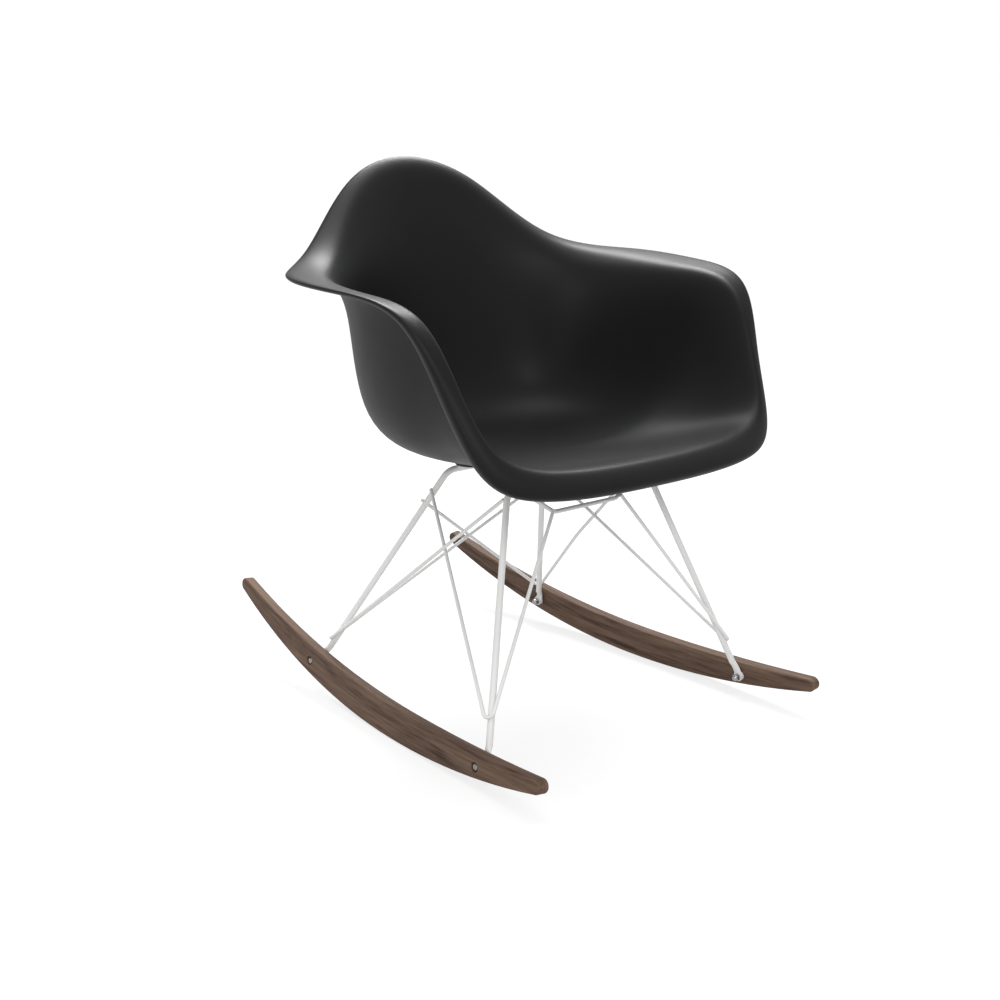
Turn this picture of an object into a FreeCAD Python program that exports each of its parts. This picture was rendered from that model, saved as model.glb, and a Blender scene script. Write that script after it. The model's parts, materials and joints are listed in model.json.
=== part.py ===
import FreeCAD, Part
import Sketcher
import math
import os

# Rocking armchair: a moulded plastic shell on rubber mounts, a welded steel rod base and two
# bent wooden rockers.  Millimetres, +Z up, floor at Z = 0, X = 0 is the mirror plane, and the
# sitter faces -Y, so the sitter's left is +X.
# Y = 0 lies midway between the front and rear rocker bolts.

doc = FreeCAD.newDocument("rocking_chair")
Vec = FreeCAD.Vector
Rot = FreeCAD.Rotation
SIDES = (("left", 1), ("right", -1))
X_AXIS = Vec(1, 0, 0)
Z_AXIS = Vec(0, 0, 1)

# ---------------------------------------------------------------- driving dimensions
DIMENSIONS = [
    ("shell_wall", 5.0),
    ("rocker_spread", 483.0),
    ("rocker_thickness", 17.0),
    ("rocker_toe_deg", 3.0),
    ("rocker_lean_deg", 6.3),
    ("rocker_round", 3.0),
    ("rocker_front_y", -338.0),
    ("rocker_rear_y", 436.0),
    ("sole_low_y", -12.0),
    ("sole_front_radius", 1320.0),
    ("sole_rear_radius", 1090.0),
    ("top_low_y", -50.0),
    ("top_low_z", 46.0),
    ("top_front_radius", 3200.0),
    ("top_rear_radius", 1720.0),
    ("bolt_y", 210.0),
    ("front_bolt_z", 30.0),
    ("rear_bolt_z", 42.0),
    ("bolt_diameter", 6.0),
    ("bolt_hole", 6.5),
    ("bolt_head_diameter", 11.5),
    ("bolt_head_height", 3.2),
    ("bolt_reach", 24.0),
    ("counterbore_diameter", 14.0),
    ("counterbore_depth", 4.5),
    ("driver_slot_width", 1.2),
    ("driver_slot_depth", 1.2),
    ("washer_diameter", 13.0),
    ("washer_thickness", 1.5),
    ("cap_nut_flats", 10.0),
    ("cap_nut_body", 5.0),
    ("cap_nut_dome_radius", 4.7),
    ("rod_diameter", 9.0),
    ("front_rod_bend", 20.0),
    ("rear_rod_bend", 18.0),
    ("front_rod_half_span", 125.0),
    ("front_rod_y", -115.0),
    ("front_rod_z", 348.0),
    ("rear_rod_half_span", 89.0),
    ("rear_rod_y", 58.0),
    ("rear_rod_z", 339.0),
    ("eye_diameter", 14.0),
    ("eye_thickness", 6.0),
    ("eye_flat", 8.0),
    ("eye_neck", 24.0),
    ("eye_side_ease", 0.8),
    ("eye_face_ease", 0.3),
    ("wire_diameter", 5.0),
    ("wire_bend_radius", 8.0),
    ("weld_bite", 0.4),
    ("front_hug_z", 81.0),
    ("rear_hug_z", 70.0),
    ("side_arm_bow", 8.0),
    ("cross_wire_diameter", 6.0),
    ("cross_wire_weld_x", 100.0),
    ("cross_wire_weld_ahead", 4.5),
    ("cross_wire_weld_below", 5.0),
    ("cross_wire_drop_x", 58.0),
    ("cross_wire_y", -131.0),
    ("cross_wire_z", 312.0),
    ("cross_wire_bend", 18.0),
    ("front_mount_x", 92.0),
    ("rear_mount_x", 60.0),
    ("mount_diameter", 38.0),
    ("mount_height", 13.0),
    ("insert_diameter", 9.0),
    ("insert_length", 9.0),
    ("screw_reach", 8.0),
    ("mount_bond", 0.6),
    ("plate_diameter", 30.0),
    ("plate_thickness", 2.0),
    ("screw_diameter", 5.0),
    ("screw_clearance", 0.25),
    ("head_top_ratio", 0.667),
    ("screw_head_diameter", 9.0),
    ("screw_head_height", 2.6),
    ("screw_side_step", 10.5),
]
sheet = doc.addObject("Spreadsheet::Sheet", "Sizes")
for row, (alias, value) in enumerate(DIMENSIONS, start=1):
    sheet.set("A%d" % row, alias)
    sheet.set("B%d" % row, str(value))
    sheet.setAlias("B%d" % row, alias)
doc.recompute()

parts = []


def size(alias):
    """Value of one driving dimension."""
    return float(sheet.get(alias))


def keep(obj, label):
    """Name a finished sub-part and put it on the list that is exported."""
    obj.Label = label
    parts.append(obj)
    return obj


def bind(obj, **cells):
    """Tie properties of an object to cells of the sheet (or to formulas of them)."""
    for prop, formula in cells.items():
        obj.setExpression(prop, formula)
    return obj


def cylinder(name, radius, height, placement):
    """Part cylinder whose radius and height are formulas of the sheet."""
    obj = doc.addObject("Part::Cylinder", name)
    bind(obj, Radius=radius, Height=height)
    obj.Placement = placement
    return obj


def fuse(name, objects):
    obj = doc.addObject("Part::MultiFuse", name)
    obj.Shapes = objects
    return obj


def cut(name, base, tool):
    obj = doc.addObject("Part::Cut", name)
    obj.Base = base
    obj.Tool = tool
    return obj


def group(name, objects, label):
    """Several separate identical solids in one node."""
    obj = doc.addObject("Part::Compound", name)
    obj.Links = objects
    return keep(obj, label)


def frame_along(direction, origin):
    """Placement whose local Z runs along direction."""
    return FreeCAD.Placement(origin, Rot(Z_AXIS, direction))


# ---------------------------------------------------------------- seat shell
# Control points of the shell's seating face, on one side of the mirror plane.  Each column runs
# from the tip of the rolled rim (first) over the rim's crest (third) and its inner ridge (fourth),
# down the wall and onto the seat.  The columns go round from the front lip, up the arm and its
# front corner, along the arm's flat flange, and up to the top of the back.
SHELL_COLUMNS = [
    [(0, -266, 364), (0, -286, 374), (0, -269, 396), (0, -256, 401),
     (0, -222, 394), (0, -162, 376), (0, -85, 364)],
    [(96, -264, 364), (100, -284, 374), (95, -267, 397), (95, -255, 402),
     (89, -221, 395), (78, -162, 377), (40, -85, 364)],
    [(188, -252, 368), (199, -271, 376), (189, -256, 401), (186, -245, 407),
     (173, -216, 400), (148, -158, 384), (78, -82, 365)],
    [(250, -216, 384), (261, -237, 392), (247, -232, 426), (241, -221, 432),
     (226, -198, 422), (196, -140, 398), (110, -70, 366)],
    [(274, -166, 490), (279, -185, 499), (262, -186, 510), (256, -184, 512),
     (243, -158, 484), (218, -104, 420), (132, -48, 367)],
    [(302, -132, 602), (309, -147, 610), (285, -141, 604), (272, -142, 606),
     (258, -118, 566), (230, -62, 432), (152, -26, 367)],
    [(322, -16, 610), (329, -21, 618), (294, -20, 611), (272, -20, 607),
     (257, -10, 574), (232, 4, 428), (158, 8, 366)],
    [(330, 108, 616), (340, 113, 626), (282, 102, 623), (258, 98, 613),
     (228, 86, 578), (216, 84, 424), (152, 62, 364)],
    [(218, 206, 616), (223, 211, 628), (196, 182, 630), (184, 171, 618),
     (173, 159, 576), (174, 160, 420), (124, 112, 363)],
    [(118, 264, 727), (120, 267, 746), (106, 244, 733), (100, 231, 694),
     (92, 210, 620), (94, 200, 434), (64, 138, 364)],
    [(0, 288, 760), (0, 291, 781), (0, 266, 762), (0, 256, 722),
     (0, 238, 650), (0, 212, 450), (0, 148, 366)],
]
SEAT_CENTRE = Vec(0, 0, 361)
RIM_REACH = 0.6


def shell_rings():
    """Closed rings of control points, rim first, over both sides of the mirror plane."""
    half = [[Vec(*point) for point in column] for column in SHELL_COLUMNS]
    mirrored = [[Vec(-p.x, p.y, p.z) for p in column] for column in half[-2:0:-1]]
    columns = half + mirrored
    return [[column[ring] for column in columns] for ring in range(len(columns[0]))]


def offset_rings(rings, distance):
    """The same rings moved to the outside of the shell, along the control net's normals."""
    count = len(rings[0])
    moved = []
    for ring, points in enumerate(rings):
        outer_ring = rings[max(ring - 1, 0)]
        inner_ring = rings[ring + 1] if ring + 1 < len(rings) else [SEAT_CENTRE] * count
        new = []
        for column, point in enumerate(points):
            around = points[(column + 1) % count] - points[column - 1]
            down = inner_ring[column] - outer_ring[column]
            normal = down.cross(around)
            normal.normalize()
            new.append(point + normal * distance)
        moved.append(new)
    return moved


def shell_surface():
    """One smooth face: seat centre, seating face, round rim, outer face, centre underneath."""
    wall = size("shell_wall")
    inside = shell_rings()
    outside = offset_rings(inside, wall)
    count = len(inside[0])
    under_centre = SEAT_CENTRE - Vec(0, 0, wall)
    rim = []
    for column in range(count):
        tip_in = inside[0][column]
        tip_out = outside[0][column]
        run_out = tip_in - inside[1][column]
        run_out.normalize()
        rim.append((tip_in + tip_out) * 0.5 + run_out * (wall * RIM_REACH))

    def level_ring(ring, centre):
        return [Vec((2 * centre.x + p.x) / 3, (2 * centre.y + p.y) / 3, centre.z) for p in ring]

    rows = [[SEAT_CENTRE] * count, level_ring(inside[-1], SEAT_CENTRE)]
    rows += inside[::-1]
    rows.append(rim)
    rows += outside
    rows += [level_ring(outside[-1], under_centre), [under_centre] * count]

    surface = Part.BSplineSurface()
    spans = len(rows) - 3
    row_mults = [4] + [1] * (spans - 1) + [4]
    surface.buildFromPolesMultsKnots(
        rows, row_mults, [1] * (count + 1),
        [float(k) for k in range(spans + 1)], [float(k) for k in range(count + 1)],
        False, True, 3, 3)
    return surface


shell_face = shell_surface()
shell_solid = Part.Solid(Part.Shell([shell_face.toShape()]))
if shell_solid.Volume < 0:
    shell_solid.reverse()
seat_shell = doc.addObject("Part::Feature", "SeatShell")
seat_shell.Shape = shell_solid
seat_shell.Placement = FreeCAD.Placement()
keep(seat_shell, "seat_shell")


# ---------------------------------------------------------------- helpers for bent rods
def bent_path(name, points, radii):
    """Sketch of a flat polyline whose inner corners are rounded with tangent arcs."""
    origin = points[0]
    along = points[1] - points[0]
    along.normalize()
    normal = along.cross(points[2] - points[1])
    normal.normalize()
    sketch = doc.addObject("Sketcher::SketchObject", name)
    sketch.Placement = FreeCAD.Placement(origin, Rot(along, normal.cross(along), normal, "ZXY"))
    flat = [sketch.Placement.inverse().multVec(point) for point in points]
    flat = [Vec(point.x, point.y, 0) for point in flat]
    start = flat[0]
    for index in range(1, len(flat) - 1):
        corner = flat[index]
        back = (flat[index - 1] - corner).normalize()
        ahead = (flat[index + 1] - corner).normalize()
        half_turn = (math.pi - back.getAngle(ahead)) / 2
        reach = radii[index - 1] * math.tan(half_turn)
        inward = (back + ahead).normalize()
        crown = radii[index - 1] * (1 / math.cos(half_turn) - 1)
        first = corner + back * reach
        last = corner + ahead * reach
        sketch.addGeometry(Part.LineSegment(start, first), False)
        sketch.addGeometry(Part.Arc(first, corner + inward * crown, last), False)
        start = last
    sketch.addGeometry(Part.LineSegment(start, flat[-1]), False)
    return sketch


def bent_rod(name, points, radii, diameter):
    """Round rod swept along a bent path; diameter is an alias of the sheet."""
    path = bent_path(name + "Path", points, radii)
    section = doc.addObject("Part::Circle", name + "Section")
    bind(section, Radius="Sizes.%s / 2" % diameter)
    section.Placement = frame_along(points[1] - points[0], points[0])
    doc.recompute()
    sweep = doc.addObject("Part::Sweep", name)
    sweep.Sections = [section]
    edges = ["Edge%d" % (index + 1) for index in range(len(path.Shape.Edges))]
    sweep.Spine = (path, edges)
    sweep.Solid = True
    return sweep


def mirror_x(point, side):
    """The point itself on the left side, its mirror image on the right side."""
    return Vec(side * point.x, point.y, point.z)


# ---------------------------------------------------------------- rockers
SOLE_LOW = Vec(size("sole_low_y"), 0, 0)
TOP_LOW = Vec(size("top_low_y"), size("top_low_z"), 0)


def end_geometry(tip_y):
    """Radii of the sole and top arcs at one end of the rocker, and the end's direction."""
    if tip_y > 0:
        return size("sole_rear_radius"), size("top_rear_radius"), 1
    return size("sole_front_radius"), size("top_front_radius"), -1


def round_end(tip_y):
    """Circle that closes an end, tangent to the sole and the top.

    Gives the points where it leaves the sole, where it reaches the tip, and where it joins the top.
    """
    sole_radius, top_radius, way = end_geometry(tip_y)
    sole_centre = SOLE_LOW + Vec(0, sole_radius, 0)
    top_centre = TOP_LOW + Vec(0, top_radius, 0)
    radius = 0.0
    for _ in range(20):
        low, high = 0.0, 200.0
        for _ in range(60):
            centre = Vec(tip_y - way * radius, (low + high) / 2, 0)
            to_sole = sole_radius - centre.distanceToPoint(sole_centre)
            to_top = centre.distanceToPoint(top_centre) - top_radius
            if to_sole < to_top:
                low = centre.y
            else:
                high = centre.y
        radius = to_sole
    on_sole = sole_centre + (centre - sole_centre).normalize() * sole_radius
    on_top = top_centre + (centre - top_centre).normalize() * top_radius
    return on_sole, centre + Vec(way * radius, 0, 0), on_top


def arc_from_low(low, radius, end):
    """Arc that is level at its lowest point and reaches up to end."""
    centre = low + Vec(0, radius, 0)
    middle = centre + ((low + end) * 0.5 - centre).normalize() * radius
    return Part.Arc(low, middle, end)


BOLTS = (("front", -1), ("rear", 1))


def bolt_place(end_sign):
    """Sketch position of a rocker bolt: along the rocker, and up."""
    z = size("rear_bolt_z") if end_sign > 0 else size("front_bolt_z")
    return Vec(end_sign * size("bolt_y"), z, 0)


def origin_plane(body, role):
    return [item for item in body.Origin.OriginFeatures if item.Role == role][0]


def sketch_on(body, role, name, lift=0.0):
    sketch = body.newObject("Sketcher::SketchObject", name)
    sketch.AttachmentSupport = [(origin_plane(body, role), "")]
    sketch.MapMode = "FlatFace"
    sketch.AttachmentOffset = FreeCAD.Placement(Vec(0, 0, lift), Rot())
    return sketch


def add_holes(sketch, diameter):
    """One circle at each bolt, its radius bound to the sheet."""
    for index, (_, end_sign) in enumerate(BOLTS):
        circle = Part.Circle(bolt_place(end_sign), Z_AXIS, size(diameter) / 2)
        sketch.addGeometry(circle, False)
        sketch.addConstraint(Sketcher.Constraint("Radius", index, size(diameter) / 2))
        sketch.setExpression("Constraints[%d]" % index, "Sizes.%s / 2" % diameter)


def make_rocker(label, side):
    """Bent plank with two bolt holes, countersunk flat on the outer side, and soft edges."""
    body = doc.addObject("PartDesign::Body", "Rocker" + label.capitalize())
    outline = sketch_on(body, "YZ_Plane", "RockerOutline" + label.capitalize())
    for tip_y in (size("rocker_front_y"), size("rocker_rear_y")):
        sole_radius, top_radius, _ = end_geometry(tip_y)
        on_sole, tip, on_top = round_end(tip_y)
        outline.addGeometry(arc_from_low(SOLE_LOW, sole_radius, on_sole), False)
        outline.addGeometry(Part.Arc(on_sole, tip, on_top), False)
        outline.addGeometry(arc_from_low(TOP_LOW, top_radius, on_top), False)
    plank = body.newObject("PartDesign::Pad", "RockerPlank" + label.capitalize())
    plank.Profile = outline
    plank.SideType = "Symmetric"
    bind(plank, Length="Sizes.rocker_thickness")
    doc.recompute()
    edges = ["Edge%d" % (index + 1) for index, edge in enumerate(plank.Shape.Edges)
             if abs(edge.tangentAt(edge.FirstParameter).x) < 0.5]
    rounding = body.newObject("PartDesign::Fillet", "RockerRounding" + label.capitalize())
    rounding.Base = (plank, edges)
    bind(rounding, Radius="Sizes.rocker_round")
    doc.recompute()

    holes = sketch_on(body, "YZ_Plane", "RockerHoles" + label.capitalize())
    add_holes(holes, "bolt_hole")
    bores = body.newObject("PartDesign::Pocket", "RockerBores" + label.capitalize())
    bores.Profile = holes
    bores.SideType = "Symmetric"
    bind(bores, Length="Sizes.rocker_thickness + 4")
    doc.recompute()

    # The recess sketch lies on the outer face, and the pocket runs towards the inner one.
    face = side * size("rocker_thickness") / 2
    seats = sketch_on(body, "YZ_Plane", "RockerSeats" + label.capitalize(), face)
    add_holes(seats, "counterbore_diameter")
    recess = body.newObject("PartDesign::Pocket", "RockerRecess" + label.capitalize())
    recess.Profile = seats
    recess.Reversed = side < 0
    bind(recess, Length="Sizes.counterbore_depth")
    body.Tip = recess
    doc.recompute()
    return keep(body, "rocker_" + label)


def rocker_frame(side):
    """Toed in towards the rear and leaning in at the top, standing on its inner edge."""
    toe = Rot(Z_AXIS, side * size("rocker_toe_deg"))
    lean = Rot(Vec(0, 1, 0), -side * size("rocker_lean_deg"))
    angle = math.radians(size("rocker_lean_deg"))
    edge = size("rocker_round")
    lift = (size("rocker_thickness") / 2 - edge) * math.sin(angle) + edge * (1 - math.cos(angle))
    return FreeCAD.Placement(Vec(side * size("rocker_spread") / 2, 0, lift), toe * lean)


rocker_frames = {}
for label, side in SIDES:
    rocker = make_rocker(label, side)
    rocker_frames[side] = rocker_frame(side)
    rocker.Placement = rocker_frames[side]


def on_bolt_axis(side, end_sign, depth):
    """Point on a bolt's axis; depth is measured inwards from the rocker's middle plane."""
    place = bolt_place(end_sign)
    return rocker_frames[side].multVec(Vec(-side * depth, place.x, place.y))


def inward(side):
    """Direction of a bolt, from the rocker's outer face towards the chair's middle."""
    return rocker_frames[side].Rotation.multVec(Vec(-side, 0, 0))


# ---------------------------------------------------------------- leg rods
HALF_ROCKER = size("rocker_thickness") / 2
EYE_FACE = HALF_ROCKER + size("washer_thickness")
EYE_DEPTH = EYE_FACE + size("eye_thickness") / 2
LEG_TOPS = {
    -1: Vec(size("front_rod_half_span"), size("front_rod_y"), size("front_rod_z")),
    1: Vec(size("rear_rod_half_span"), size("rear_rod_y"), size("rear_rod_z")),
}


def eye_centre(end_sign, side):
    return on_bolt_axis(side, end_sign, EYE_DEPTH)


def leg_line(end_sign, side):
    """Foot and direction of one leg, from its eye up to the bend under the seat."""
    foot = eye_centre(end_sign, side)
    rise = mirror_x(LEG_TOPS[end_sign], side) - foot
    rise.normalize()
    return foot, rise


def leg_point(end_sign, side, z):
    """Point on a leg's centre line at a height."""
    foot, rise = leg_line(end_sign, side)
    return foot + rise * ((z - foot.z) / rise.z)


def flattened_foot(name, end_sign, side):
    """The rod's end, pressed flat, bent level with the rocker and rounded into an eye."""
    foot, rise = leg_line(end_sign, side)
    across = inward(side)
    flat_up = (rise - across * rise.dot(across)).normalize()
    sections = []
    for number, height in enumerate((0, size("eye_flat"))):
        flat = doc.addObject("Part::Ellipse", "%sFlat%d" % (name, number))
        bind(flat, MajorRadius="Sizes.eye_diameter / 2 - Sizes.eye_side_ease",
             MinorRadius="Sizes.eye_thickness / 2 - Sizes.eye_face_ease")
        flat.Placement = FreeCAD.Placement(
            foot + flat_up * height, Rot(flat_up.cross(across), across, flat_up, "ZXY"))
        sections.append(flat)
    ring = doc.addObject("Part::Circle", name + "Round")
    bind(ring, Radius="Sizes.rod_diameter / 2")
    ring.Placement = FreeCAD.Placement(
        foot + rise * size("eye_neck"), Rot(flat_up.cross(across), across, rise, "ZXY"))
    neck = doc.addObject("Part::Loft", name + "Neck")
    neck.Sections = sections + [ring]
    neck.Solid = True
    face = on_bolt_axis(side, end_sign, EYE_FACE)
    disc = cylinder(name + "Disc", "Sizes.eye_diameter / 2", "Sizes.eye_thickness",
                    frame_along(across, face))
    hole = cylinder(name + "Hole", "Sizes.bolt_hole / 2", "Sizes.rod_diameter * 4",
                    frame_along(across, face - across * size("rod_diameter")))
    return neck, disc, hole


def make_leg_rod(name, end_sign, label):
    """Inverted U: a foot on each rocker, two legs and the span under the seat."""
    neck_tops = {}
    solids = []
    holes = []
    for side_label, side in SIDES:
        foot, rise = leg_line(end_sign, side)
        neck_tops[side] = foot + rise * size("eye_neck")
        neck, disc, hole = flattened_foot(name + side_label.capitalize(), end_sign, side)
        solids += [neck, disc]
        holes.append(hole)
    top = LEG_TOPS[end_sign]
    points = [neck_tops[1], top, mirror_x(top, -1), neck_tops[-1]]
    bend = size("front_rod_bend" if end_sign < 0 else "rear_rod_bend")
    rod = bent_rod(name + "Rod", points, [bend, bend], "rod_diameter")
    body = fuse(name + "Blank", [rod] + solids)
    return keep(cut(name, body, fuse(name + "Holes", holes)), label)


front_leg_rod = make_leg_rod("FrontLegRod", -1, "front_leg_rod")
rear_leg_rod = make_leg_rod("RearLegRod", 1, "rear_leg_rod")

# ---------------------------------------------------------------- wire braces
SIDE_GAP = (size("rod_diameter") + size("wire_diameter")) / 2 - size("weld_bite")
BOW_RADIUS = 480.0

# Which side of its leg each V hugs, and where its arms end, for the left-hand brace of a pair.
FRONT_OUT = Vec(0.78, -0.16, 0.61)
FRONT_ON_REAR_LEG = Vec(106, 77, 310)
FRONT_ON_CROSS_WIRE = Vec(62, -134.8, 316.6)
REAR_OUT = Vec(0.38, 0.54, 0.75)
REAR_ON_FRONT_LEG = Vec(119, -100, 333)
# The two rear braces cross behind the seat.  The left one passes behind and laps the other leg,
# and the right one passes in front and butts against it.
REAR_ON_OTHER_LEG = {1: Vec(-113, 88.6, 292.8), -1: Vec(-110.2, 83.4, 287.7)}


def make_brace(name, end_sign, side, hug_z, outward, end_a, bow, end_b, label):
    """V of wire: its bend hugs the outside of a leg low down, its arms rise to two welds.

    bow pushes the middle of the first arm out in the plane of the V.
    """
    out = mirror_x(outward, side)
    out.normalize()
    bottom = leg_point(end_sign, side, hug_z) + out * SIDE_GAP
    end_a = mirror_x(end_a, side)
    end_b = mirror_x(end_b, side)
    radius = size("wire_bend_radius")
    corner = bottom
    for _ in range(3):
        arm_a = (end_a - corner).normalize()
        arm_b = (end_b - corner).normalize()
        half_turn = (math.pi - arm_a.getAngle(arm_b)) / 2
        middle = (arm_a + arm_b).normalize()
        corner = bottom - middle * radius * (1 / math.cos(half_turn) - 1)
    points = [end_a, corner, end_b]
    radii = [radius]
    if bow:
        normal = arm_a.cross(arm_b).normalize()
        sideways = normal.cross(arm_a).normalize()
        waist = (end_a + corner) * 0.5 + sideways * bow
        points = [end_a, waist, corner, end_b]
        radii = [BOW_RADIUS, radius]
    return keep(bent_rod(name, points, radii, "wire_diameter"), label)


for label, side in SIDES:
    word = label.capitalize()
    make_brace("FrontBrace" + word, -1, side, size("front_hug_z"), FRONT_OUT,
               FRONT_ON_REAR_LEG, 0, FRONT_ON_CROSS_WIRE, "front_brace_" + label)
    make_brace("RearBrace" + word, 1, side, size("rear_hug_z"), REAR_OUT,
               REAR_ON_FRONT_LEG, size("side_arm_bow"), REAR_ON_OTHER_LEG[side],
               "rear_brace_" + label)

# Wire that hangs under the front span and carries the front braces.
drop = Vec(size("cross_wire_drop_x"), size("cross_wire_y"), size("cross_wire_z"))
weld = Vec(size("cross_wire_weld_x"), size("front_rod_y") - size("cross_wire_weld_ahead"),
           size("front_rod_z") - size("cross_wire_weld_below"))
cross_points = [weld, drop, mirror_x(drop, -1), mirror_x(weld, -1)]
cross_bend = size("cross_wire_bend")
front_cross_wire = bent_rod("FrontCrossWire", cross_points, [cross_bend, cross_bend],
                            "cross_wire_diameter")
keep(front_cross_wire, "front_cross_wire")

# ---------------------------------------------------------------- rubber mounts under the seat
MOUNT_HEIGHT = size("mount_height")
MOUNTS = (("front", -1, size("front_mount_x"), size("front_rod_y") + size("screw_side_step")),
          ("rear", 1, size("rear_mount_x"), size("rear_rod_y") - size("screw_side_step")))


def seat_underside(x, y):
    """Lowest point of the shell above a place, and the direction straight out of it there."""
    plumb = Part.makeLine(Vec(x, y, 300), Vec(x, y, 420))
    inside = plumb.common(shell_solid)
    point = min((vertex.Point for vertex in inside.Vertexes), key=lambda p: p.z)
    u, v = shell_face.parameter(point)
    out = shell_face.normal(u, v)
    if out.z > 0:
        out = out * -1
    return point, out


screws = []
inserts = []
for end_label, end_sign, mount_x, mount_y in MOUNTS:
    for side_label, side in SIDES:
        word = end_label.capitalize() + side_label.capitalize()
        node = end_label + "_" + side_label
        skin, down = seat_underside(side * mount_x, mount_y)
        pad_top = frame_along(down, skin - down * size("mount_bond"))
        pad_bottom = frame_along(down, skin + down * MOUNT_HEIGHT)
        pocket_top = frame_along(down, skin + down * (MOUNT_HEIGHT - size("insert_length")))
        plate_bottom = frame_along(down, skin + down * (MOUNT_HEIGHT + size("plate_thickness")))
        screw_tip = frame_along(down, skin + down * (MOUNT_HEIGHT - size("screw_reach")))

        pad = cylinder("Pad" + word, "Sizes.mount_diameter / 2",
                       "Sizes.mount_height + Sizes.mount_bond", pad_top)
        pocket = cylinder("PadPocket" + word, "Sizes.insert_diameter / 2",
                          "Sizes.insert_length + 1", pocket_top)
        hollow = cut("PadBlank" + word, pad, pocket)
        keep(cut("ShockMount" + word, hollow, seat_shell), "shock_mount_" + node)

        sleeve = cylinder("Sleeve" + word, "Sizes.insert_diameter / 2",
                          "Sizes.insert_length", pocket_top)
        thread = cylinder("Thread" + word, "Sizes.screw_diameter / 2",
                          "Sizes.insert_length + 1", screw_tip)
        inserts.append(cut("Insert" + word, sleeve, thread))

        disc = cylinder("Disc" + word, "Sizes.plate_diameter / 2", "Sizes.plate_thickness",
                        pad_bottom)
        clearance = cylinder("Clearance" + word, "Sizes.screw_diameter / 2 + Sizes.screw_clearance",
                             "Sizes.plate_thickness * 3",
                             frame_along(down, skin + down * (MOUNT_HEIGHT - 1)))
        keep(cut("MountPlate" + word, disc, clearance), "mount_plate_" + node)

        shank = cylinder("Shank" + word, "Sizes.screw_diameter / 2",
                         "Sizes.screw_reach + Sizes.plate_thickness", screw_tip)
        head = doc.addObject("Part::Cone", "Head" + word)
        bind(head, Radius1="Sizes.screw_head_diameter / 2",
             Radius2="Sizes.screw_head_diameter / 2 * Sizes.head_top_ratio",
             Height="Sizes.screw_head_height")
        head.Placement = plate_bottom
        slot = doc.addObject("Part::Box", "Slot" + word)
        bind(slot, Length="Sizes.screw_head_diameter + 1", Width="Sizes.driver_slot_width",
             Height="Sizes.driver_slot_depth + 1")
        corner = Vec(-(size("screw_head_diameter") + 1) / 2, -size("driver_slot_width") / 2,
                     size("screw_head_height") - size("driver_slot_depth"))
        slot.Placement = plate_bottom.multiply(FreeCAD.Placement(corner, Rot()))
        screws.append(cut("MountScrew" + word, fuse("ScrewBlank" + word, [shank, head]), slot))
group("MountInserts", inserts, "mount_inserts")
group("MountScrews", screws, "mount_screws")

# ---------------------------------------------------------------- rocker bolts, washers, cap nuts
bolts = []
washers = []
nuts = []
NUT_FACE = EYE_FACE + size("eye_thickness")
SEAT_DEPTH = -HALF_ROCKER + size("counterbore_depth")
for side_label, side in SIDES:
    axis = inward(side)
    turn = Rot(Z_AXIS, axis)
    for end_label, end_sign in BOLTS:
        word = "Rocker" + end_label.capitalize() + side_label.capitalize()
        seat = frame_along(axis, on_bolt_axis(side, end_sign, SEAT_DEPTH))
        shank = cylinder(word + "Shank", "Sizes.bolt_diameter / 2", "Sizes.bolt_reach", seat)
        head = doc.addObject("Part::Cone", word + "Head")
        bind(head, Radius1="Sizes.bolt_head_diameter / 2",
             Radius2="Sizes.bolt_head_diameter / 2 * Sizes.head_top_ratio",
             Height="Sizes.bolt_head_height")
        head.Placement = frame_along(axis * -1, seat.Base)
        slot = doc.addObject("Part::Box", word + "Slot")
        bind(slot, Length="Sizes.bolt_head_diameter + 1", Width="Sizes.driver_slot_width",
             Height="Sizes.driver_slot_depth + 1")
        corner = Vec(-(size("bolt_head_diameter") + 1) / 2, -size("driver_slot_width") / 2,
                     size("bolt_head_height") - size("driver_slot_depth"))
        slot.Placement = head.Placement.multiply(FreeCAD.Placement(corner, Rot()))
        bolts.append(cut(word + "Bolt", fuse(word + "Blank", [shank, head]), slot))

        ring = cylinder(word + "Ring", "Sizes.washer_diameter / 2", "Sizes.washer_thickness",
                        frame_along(axis, on_bolt_axis(side, end_sign, HALF_ROCKER)))
        eye = cylinder(word + "Eye", "Sizes.bolt_hole / 2", "Sizes.washer_thickness * 3",
                       frame_along(axis, on_bolt_axis(side, end_sign, HALF_ROCKER - 1)))
        washers.append(cut(word + "Washer", ring, eye))

        face = frame_along(axis, on_bolt_axis(side, end_sign, NUT_FACE))
        hexagon = doc.addObject("Part::Prism", word + "Hexagon")
        hexagon.Polygon = 6
        bind(hexagon, Circumradius="Sizes.cap_nut_flats / sqrt(3)", Height="Sizes.cap_nut_body")
        hexagon.Placement = face
        dome = doc.addObject("Part::Sphere", word + "Dome")
        bind(dome, Radius="Sizes.cap_nut_dome_radius")
        dome.Angle1 = 0
        dome.Placement = frame_along(axis, face.Base + axis * size("cap_nut_body"))
        tapped = cylinder(word + "Tapped", "Sizes.bolt_diameter / 2", "Sizes.cap_nut_body + 2",
                          frame_along(axis, face.Base - axis))
        nuts.append(cut(word + "Nut", fuse(word + "NutBlank", [hexagon, dome]), tapped))
group("RockerBolts", bolts, "rocker_bolts")
group("RockerWashers", washers, "rocker_washers")
group("CapNuts", nuts, "cap_nuts")

doc.recompute()

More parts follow.
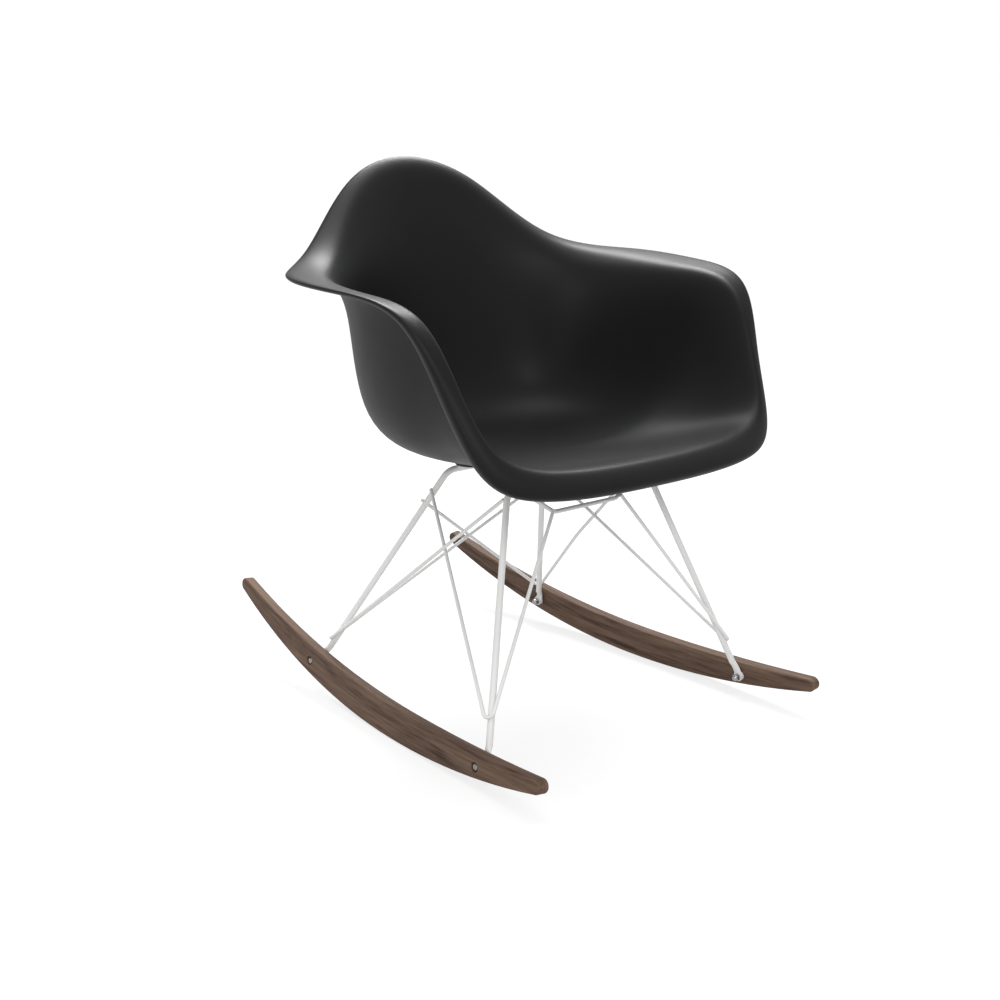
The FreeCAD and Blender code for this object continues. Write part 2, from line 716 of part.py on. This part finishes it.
# ---------------------------------------------------------------- checks and export
for obj in doc.Objects:
    if "Invalid" in obj.State or "Error" in obj.State:
        raise RuntimeError("%s failed: %s" % (obj.Label, obj.State))
os.makedirs("parts", exist_ok=True)
for obj in parts:
    shape = obj.Shape
    if shape.isNull() or not shape.isValid() or shape.Volume <= 0:
        raise RuntimeError("%s has no valid shape" % obj.Label)
    shape.exportStep(os.path.join("parts", obj.Label + ".step"))
    print(obj.Label, len(shape.Solids), "solid(s)", round(shape.Volume / 1000, 2), "cm3")
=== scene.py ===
import bpy
import json
import math
import numpy as np
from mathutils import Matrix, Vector


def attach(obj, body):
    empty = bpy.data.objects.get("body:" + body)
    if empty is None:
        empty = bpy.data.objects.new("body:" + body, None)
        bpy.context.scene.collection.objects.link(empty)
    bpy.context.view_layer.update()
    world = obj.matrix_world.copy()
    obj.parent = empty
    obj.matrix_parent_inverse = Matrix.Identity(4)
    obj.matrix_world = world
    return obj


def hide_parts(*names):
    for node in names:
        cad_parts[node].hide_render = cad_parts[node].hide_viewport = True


# Rocking armchair: a moulded shell, a white rod base and two walnut rockers.  Metres, +Z up, floor
# at Z = 0.  The chair faces -Y and X = 0 is its mirror plane.

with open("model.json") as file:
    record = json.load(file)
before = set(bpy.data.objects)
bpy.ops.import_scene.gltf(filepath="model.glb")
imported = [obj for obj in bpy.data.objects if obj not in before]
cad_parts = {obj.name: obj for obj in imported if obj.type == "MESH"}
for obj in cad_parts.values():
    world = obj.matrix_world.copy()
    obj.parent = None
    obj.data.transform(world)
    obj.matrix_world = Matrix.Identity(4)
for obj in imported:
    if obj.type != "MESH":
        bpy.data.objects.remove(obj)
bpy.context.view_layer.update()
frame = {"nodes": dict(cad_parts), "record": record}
BODY = "root"
MM = 0.001

# ---------------------------------------------------------------- camera, floor and light
CAMERA_PLACE = Vector((-1.2977, -1.5193, 0.8199))
CAMERA_YAW = math.radians(-39.56)
CAMERA_DOWN = math.radians(14.80)
CAMERA_LENS = 52.23
CAMERA_NEAR = 0.05

WHITE = (1, 1, 1, 1)
BACKDROP_STRENGTH = 1.0
ROOM_STRENGTH = 0.64
FLOOR_HALF_SIZE = 60.0
FLOOR_GLOW = 0.76
FLOOR_BOUNCE = 0.42
FLOOR_SHADE = 0.25
CEILING_FROM = (0.05, 0.05, 1.0)
CEILING_WIDTH = math.radians(50)
CEILING_STRENGTH = 1.5
# Each soft box: its name, its place, the point that it faces, its width and its power in watts.
SOFT_BOXES = [
    ("BackBox", (1.0, 1.1, 2.15), (0, -0.1, 0.4), 1.1, 50),
    ("FrontBox", (-1.2, -2.4, 1.9), (0, 0, 0.45), 1.2, 16),
    ("LeftBox", (-2.3, -1.2, 1.1), (0, 0, 0.45), 0.6, 8),
]


def add_to_scene(name, data):
    """New object for this mesh, light or camera, linked to the scene."""
    piece = bpy.data.objects.new(name, data)
    bpy.context.scene.collection.objects.link(piece)
    return piece


def make_camera():
    data = bpy.data.cameras.new("Camera")
    data.lens = CAMERA_LENS
    data.clip_start = CAMERA_NEAR
    camera = add_to_scene("Camera", data)
    camera.location = CAMERA_PLACE
    camera.rotation_euler = (math.pi / 2 - CAMERA_DOWN, 0, CAMERA_YAW)
    bpy.context.scene.camera = camera


def make_ceiling():
    """Very wide, even light, as from a whole ceiling of soft boxes."""
    data = bpy.data.lights.new("Ceiling", "SUN")
    data.angle = CEILING_WIDTH
    data.energy = CEILING_STRENGTH
    light = add_to_scene("Ceiling", data)
    light.rotation_euler = Vector(CEILING_FROM).to_track_quat("Z", "Y").to_euler()


def make_soft_box(name, place, target, width, power):
    data = bpy.data.lights.new(name, "AREA")
    data.shape = "DISK"
    data.size = width
    data.energy = power
    light = add_to_scene(name, data)
    light.location = place
    light.rotation_euler = (Vector(target) - Vector(place)).to_track_quat("-Z", "Y").to_euler()


def seen_or_lit(tree, seen, lit):
    """One value for what the camera sees directly and another for what lights the chair."""
    path = tree.nodes.new("ShaderNodeLightPath")
    return spread(tree, path.outputs["Is Camera Ray"], low=lit, high=seen)


def make_lights():
    """Pale studio: a white backdrop, dimmer walls, a wide soft ceiling and three soft boxes."""
    world = bpy.data.worlds.new("Studio")
    world.use_nodes = True
    tree = world.node_tree
    background = tree.nodes["Background"]
    background.inputs["Color"].default_value = WHITE
    strength = seen_or_lit(tree, seen=BACKDROP_STRENGTH, lit=ROOM_STRENGTH)
    tree.links.new(strength, background.inputs["Strength"])
    bpy.context.scene.world = world
    bpy.context.scene.view_settings.view_transform = "Standard"
    make_ceiling()
    for soft_box in SOFT_BOXES:
        make_soft_box(*soft_box)


def make_floor():
    """White floor that glows a little, so that only the shadows close to the chair show."""
    size = FLOOR_HALF_SIZE
    corners = [(-size, -size, 0), (size, -size, 0), (size, size, 0), (-size, size, 0)]
    mesh = bpy.data.meshes.new("Floor")
    mesh.from_pydata(corners, [], [(0, 1, 2, 3)])
    floor = add_to_scene("Floor", mesh)
    material, tree, shader = new_material("FloorWhite", (FLOOR_SHADE,) * 3, roughness=0.8)
    shader.inputs["Specular IOR Level"].default_value = 0.0
    shader.inputs["Emission Color"].default_value = WHITE
    glow = seen_or_lit(tree, seen=FLOOR_GLOW, lit=FLOOR_BOUNCE)
    tree.links.new(glow, shader.inputs["Emission Strength"])
    floor.data.materials.append(material)


# ---------------------------------------------------------------- shader nodes
def new_material(name, color, roughness):
    """Material with one Principled shader, and its node tree, ready for more nodes."""
    material = bpy.data.materials.new(name)
    material.use_nodes = True
    tree = material.node_tree
    shader = tree.nodes["Principled BSDF"]
    shader.inputs["Base Color"].default_value = (*color, 1)
    shader.inputs["Roughness"].default_value = roughness
    return material, tree, shader


def object_place(tree):
    """A point's place on the chair, in metres."""
    return tree.nodes.new("ShaderNodeTexCoord").outputs["Object"]


def noise(tree, place, scale, detail=3.0, roughness=0.5):
    node = tree.nodes.new("ShaderNodeTexNoise")
    node.inputs["Scale"].default_value = scale
    node.inputs["Detail"].default_value = detail
    node.inputs["Roughness"].default_value = roughness
    tree.links.new(place, node.inputs["Vector"])
    return node.outputs["Fac"]


def spread(tree, value, low, high):
    """Map a 0 to 1 value onto low to high."""
    node = tree.nodes.new("ShaderNodeMapRange")
    node.inputs["To Min"].default_value = low
    node.inputs["To Max"].default_value = high
    tree.links.new(value, node.inputs["Value"])
    return node.outputs["Result"]


def set_color(tree, shader, value, stops):
    """Colour the surface by a 0 to 1 value, through stops of (value, colour)."""
    node = tree.nodes.new("ShaderNodeValToRGB")
    while len(node.color_ramp.elements) < len(stops):
        node.color_ramp.elements.new(0.5)
    for element, (place, color) in zip(node.color_ramp.elements, stops):
        element.position = place
        element.color = (*color, 1)
    tree.links.new(value, node.inputs["Fac"])
    tree.links.new(node.outputs["Color"], shader.inputs["Base Color"])


def set_roughness(tree, shader, value, low, high):
    tree.links.new(spread(tree, value, low, high), shader.inputs["Roughness"])


def set_bump(tree, shader, height, strength, distance):
    node = tree.nodes.new("ShaderNodeBump")
    node.inputs["Strength"].default_value = strength
    node.inputs["Distance"].default_value = distance
    tree.links.new(height, node.inputs["Height"])
    tree.links.new(node.outputs["Normal"], shader.inputs["Normal"])


def calculate(tree, operation, first, second):
    """Math node on two values, each a number or another node's output."""
    node = tree.nodes.new("ShaderNodeMath")
    node.operation = operation
    for socket, value in zip(node.inputs, (first, second)):
        if isinstance(value, (int, float)):
            socket.default_value = value
        else:
            tree.links.new(value, socket)
    return node.outputs["Value"]


# ---------------------------------------------------------------- materials
# The rockers' top edge: its lowest point, and the radii of its arcs ahead of it and behind it.
ROCKER_TOP_LOW_Y = -0.050
TOP_FRONT_RADIUS = 3.2
TOP_REAR_RADIUS = 1.72
GRAIN_STRETCH = 0.022


def shell_plastic():
    """Black moulded polypropylene: satin, with a fine moulded grain and faint cloudiness."""
    material, tree, shader = new_material("ShellPlastic", (0.010, 0.010, 0.0102), roughness=0.43)
    shader.inputs["Specular IOR Level"].default_value = 0.15
    place = object_place(tree)
    cloud = noise(tree, place, scale=9.0)
    grain = noise(tree, place, scale=900.0, detail=2.0)
    polish = noise(tree, place, scale=30.0)
    set_color(tree, shader, cloud, [
        (0.35, (0.0092, 0.0092, 0.0094)),
        (0.70, (0.0108, 0.0108, 0.0110)),
    ])
    set_roughness(tree, shader, polish, low=0.40, high=0.46)
    set_bump(tree, shader, grain, strength=0.10, distance=0.0003)
    return material


def bend_rise(tree, run, radius):
    """How far a long arc has risen, a given run away from its lowest point."""
    squared = calculate(tree, "MULTIPLY", run, run)
    return calculate(tree, "MULTIPLY", squared, 0.5 / radius)


def grain_place(tree):
    """A point's place in the plank as if it were straight, shortened along the grain."""
    split = tree.nodes.new("ShaderNodeSeparateXYZ")
    tree.links.new(object_place(tree), split.inputs["Vector"])
    along = calculate(tree, "SUBTRACT", split.outputs["Y"], ROCKER_TOP_LOW_Y)
    ahead = calculate(tree, "MINIMUM", along, 0.0)
    behind = calculate(tree, "MAXIMUM", along, 0.0)
    rise = calculate(tree, "ADD", bend_rise(tree, ahead, TOP_FRONT_RADIUS),
                     bend_rise(tree, behind, TOP_REAR_RADIUS))
    joined = tree.nodes.new("ShaderNodeCombineXYZ")
    tree.links.new(split.outputs["X"], joined.inputs["X"])
    tree.links.new(calculate(tree, "MULTIPLY", along, GRAIN_STRETCH), joined.inputs["Y"])
    tree.links.new(calculate(tree, "SUBTRACT", split.outputs["Z"], rise), joined.inputs["Z"])
    return joined.outputs["Vector"]


def walnut():
    """Oiled walnut: streaks and pores that follow the bend of the rocker."""
    material, tree, shader = new_material("Walnut", (0.16, 0.11, 0.08), roughness=0.5)
    shader.inputs["Specular IOR Level"].default_value = 0.15
    place = grain_place(tree)
    broad = noise(tree, place, scale=60.0, detail=4.0, roughness=0.6)
    fine = noise(tree, place, scale=260.0, detail=3.0, roughness=0.65)
    pores = noise(tree, place, scale=900.0, detail=2.0, roughness=0.6)
    streak = calculate(tree, "ADD", calculate(tree, "MULTIPLY", broad, 0.5),
                       calculate(tree, "MULTIPLY", fine, 0.5))
    set_color(tree, shader, streak, [
        (0.36, (0.045, 0.026, 0.017)),
        (0.45, (0.100, 0.060, 0.041)),
        (0.55, (0.145, 0.091, 0.063)),
        (0.68, (0.195, 0.127, 0.089)),
    ])
    set_roughness(tree, shader, fine, low=0.46, high=0.62)
    set_bump(tree, shader, pores, strength=0.35, distance=0.0004)
    return material


def white_coat():
    """White powder coat: satin, with a slight orange-peel."""
    material, tree, shader = new_material("WhiteCoat", (0.80, 0.80, 0.79), roughness=0.42)
    place = object_place(tree)
    cloud = noise(tree, place, scale=14.0)
    peel = noise(tree, place, scale=700.0, detail=1.0)
    set_color(tree, shader, cloud, [
        (0.3, (0.785, 0.783, 0.775)),
        (0.7, (0.815, 0.814, 0.808)),
    ])
    set_roughness(tree, shader, cloud, low=0.38, high=0.46)
    set_bump(tree, shader, peel, strength=0.05, distance=0.0003)
    return material


def bright_steel():
    """Nickel-plated bolts and nuts with faint turning marks."""
    material, tree, shader = new_material("BrightSteel", (0.46, 0.46, 0.47), roughness=0.18)
    shader.inputs["Metallic"].default_value = 1.0
    marks = noise(tree, object_place(tree), scale=1400.0, detail=2.0)
    set_roughness(tree, shader, marks, low=0.12, high=0.24)
    set_bump(tree, shader, marks, strength=0.08, distance=0.0001)
    return material


def zinc_steel():
    """Zinc-plated screws and inserts, a little duller and mottled."""
    material, tree, shader = new_material("ZincSteel", (0.55, 0.56, 0.56), roughness=0.38)
    shader.inputs["Metallic"].default_value = 1.0
    spots = noise(tree, object_place(tree), scale=260.0)
    set_color(tree, shader, spots, [
        (0.3, (0.47, 0.48, 0.48)),
        (0.7, (0.62, 0.63, 0.63)),
    ])
    set_roughness(tree, shader, spots, low=0.30, high=0.48)
    return material


def mount_rubber():
    """Matt black rubber with a slight bloom."""
    material, tree, shader = new_material("MountRubber", (0.018, 0.018, 0.018), roughness=0.75)
    place = object_place(tree)
    bloom = noise(tree, place, scale=60.0)
    pits = noise(tree, place, scale=1200.0, detail=2.0)
    set_color(tree, shader, bloom, [
        (0.35, (0.015, 0.015, 0.015)),
        (0.70, (0.030, 0.030, 0.029)),
    ])
    set_bump(tree, shader, pits, strength=0.2, distance=0.0002)
    return material


# ---------------------------------------------------------------- seat shell
SHELL_WALL = 5.0
RIM_REACH = 0.6
SEAT_CENTRE = np.array((0.0, 0.0, 361.0))
# Control points of the seating face on one side, in millimetres.  Each column runs from the tip of
# the rolled rim over its crest (third) and its inner ridge (fourth), down the wall and onto the
# seat.  The columns go round from the front lip, up the arm and along it, to the top of the back.
SHELL_COLUMNS = [
    [(0, -266, 364), (0, -286, 374), (0, -269, 396), (0, -256, 401),
     (0, -222, 394), (0, -162, 376), (0, -85, 364)],
    [(96, -264, 364), (100, -284, 374), (95, -267, 397), (95, -255, 402),
     (89, -221, 395), (78, -162, 377), (40, -85, 364)],
    [(188, -252, 368), (199, -271, 376), (189, -256, 401), (186, -245, 407),
     (173, -216, 400), (148, -158, 384), (78, -82, 365)],
    [(250, -216, 384), (261, -237, 392), (247, -232, 426), (241, -221, 432),
     (226, -198, 422), (196, -140, 398), (110, -70, 366)],
    [(274, -166, 490), (279, -185, 499), (262, -186, 510), (256, -184, 512),
     (243, -158, 484), (218, -104, 420), (132, -48, 367)],
    [(302, -132, 602), (309, -147, 610), (285, -141, 604), (272, -142, 606),
     (258, -118, 566), (230, -62, 432), (152, -26, 367)],
    [(322, -16, 610), (329, -21, 618), (294, -20, 611), (272, -20, 607),
     (257, -10, 574), (232, 4, 428), (158, 8, 366)],
    [(330, 108, 616), (340, 113, 626), (282, 102, 623), (258, 98, 613),
     (228, 86, 578), (216, 84, 424), (152, 62, 364)],
    [(218, 206, 616), (223, 211, 628), (196, 182, 630), (184, 171, 618),
     (173, 159, 576), (174, 160, 420), (124, 112, 363)],
    [(118, 264, 727), (120, 267, 746), (106, 244, 733), (100, 231, 694),
     (92, 210, 620), (94, 200, 434), (64, 138, 364)],
    [(0, 288, 760), (0, 291, 781), (0, 266, 762), (0, 256, 722),
     (0, 238, 650), (0, 212, 450), (0, 148, 366)],
]
STEPS_AROUND = 12
STEPS_DOWN = 8
STEPS_AT_RIM = 14
SPANS_BESIDE_RIM = 3


def unit(vectors):
    return vectors / np.linalg.norm(vectors, axis=-1, keepdims=True)


def level(row, centre):
    """Points a third of the way from the centre to a row, at the centre's height."""
    flat = (row + 2 * centre) / 3
    flat[..., 2] = centre[..., 2]
    return flat


def shell_net():
    """Rows of control points: seat centre, seating face, rim, outer face, centre underneath."""
    half = np.array(SHELL_COLUMNS, float)
    mirrored = half[-2:0:-1] * (-1, 1, 1)
    inside = np.concatenate([half, mirrored]).transpose(1, 0, 2)
    centre_row = np.repeat(SEAT_CENTRE[None, None, :], inside.shape[1], axis=1)
    padded = np.concatenate([inside[:1], inside, centre_row])
    down = padded[2:] - padded[:-2]
    around = np.roll(inside, -1, axis=1) - np.roll(inside, 1, axis=1)
    outside = inside + unit(np.cross(down, around)) * SHELL_WALL
    run_out = unit(inside[:1] - inside[1:2])
    rim = (inside[:1] + outside[:1]) / 2 + run_out * SHELL_WALL * RIM_REACH
    under_row = centre_row - (0, 0, SHELL_WALL)
    return np.concatenate([
        centre_row, level(inside[-1:], centre_row), inside[::-1],
        rim, outside, level(outside[-1:], under_row), under_row])


def clamped_weights(count, value):
    """Weights of a clamped cubic's control points, whose inner knots are one apart."""
    spans = count - 3
    knots = np.concatenate([[0.0] * 3, np.arange(spans + 1.0), [float(spans)] * 3])
    value = min(value, spans - 1e-9)
    weights = ((knots[:-1] <= value) & (value < knots[1:])).astype(float)
    for degree in (1, 2, 3):
        lower = np.zeros(len(knots) - 1 - degree)
        for i in range(len(lower)):
            rise = knots[i + degree] - knots[i]
            fall = knots[i + degree + 1] - knots[i + 1]
            if rise > 0:
                lower[i] += (value - knots[i]) / rise * weights[i]
            if fall > 0:
                lower[i] += (knots[i + degree + 1] - value) / fall * weights[i + 1]
        weights = lower
    return weights


def round_weights(count, value):
    """Weights of a closed uniform cubic's control points at a place given in columns."""
    weights = np.zeros(count)
    base = math.floor(value)
    t = value - base
    blend = ((1 - t) ** 3, 3 * t ** 3 - 6 * t ** 2 + 4, -3 * t ** 3 + 3 * t ** 2 + 3 * t + 1, t ** 3)
    for offset, weight in enumerate(blend):
        weights[(base - 1 + offset) % count] += weight / 6
    return weights


def places_down(rows):
    """Where the skin's rings lie down the net, closer together beside the rim."""
    spans = rows - 3
    places = []
    for span in range(spans):
        beside_rim = abs(span + 0.5 - spans / 2) < SPANS_BESIDE_RIM
        steps = STEPS_AT_RIM if beside_rim else STEPS_DOWN
        places += [span + step / steps for step in range(steps)]
    return places + [float(spans)]


def shell_rings():
    """Points of the skin in metres, ring by ring from the seat centre over the rim to underneath."""
    net = shell_net()
    rows, columns, _ = net.shape
    down = np.array([clamped_weights(rows, place) for place in places_down(rows)])
    around = np.array([round_weights(columns, step / STEPS_AROUND)
                       for step in range(columns * STEPS_AROUND)])
    return np.einsum("ar,bc,rcx->abx", down, around, net) * MM


def skin_faces(rings, count):
    """A fan of triangles round each end point, and quads between the rings of count points."""
    last = rings * count + 1
    faces = []
    for j in range(count):
        k = (j + 1) % count
        faces.append((0, 1 + j, 1 + k))
        for ring in range(rings - 1):
            low = 1 + ring * count
            high = low + count
            faces.append((low + j, high + j, high + k, low + k))
        faces.append((last - count + k, last - count + j, last))
    return faces


def make_shell(material):
    """One closed skin in place of the shell's solid; its first and last ring are single points."""
    rings = shell_rings()
    between = rings[1:-1]
    points = [tuple(rings[0, 0])]
    points += [tuple(point) for point in between.reshape(-1, 3)]
    points.append(tuple(rings[-1, 0]))
    mesh = bpy.data.meshes.new("seat_shell_skin")
    mesh.from_pydata(points, [], skin_faces(between.shape[0], between.shape[1]))
    mesh.validate()
    mesh.shade_smooth()
    mesh.materials.append(material)
    piece = add_to_scene("seat_shell_skin", mesh)
    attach(piece, BODY)
    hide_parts("seat_shell")


# ---------------------------------------------------------------- rods, rockers and fasteners
def dress_nodes(materials):
    """Give every CAD node but the replaced shell the material of its slot."""
    slots = {row["node"]: row["material_slot"] for row in frame["record"]["subparts"]}
    for name, node in frame["nodes"].items():
        if name == "seat_shell":
            continue
        for material_slot in node.material_slots:
            material_slot.material = materials[slots[name]]


make_camera()
make_lights()
make_floor()
MATERIALS = {
    "shell": shell_plastic(),
    "walnut": walnut(),
    "coated_steel": white_coat(),
    "bright_steel": bright_steel(),
    "zinc_steel": zinc_steel(),
    "mount_rubber": mount_rubber(),
}
make_shell(MATERIALS["shell"])
dress_nodes(MATERIALS)
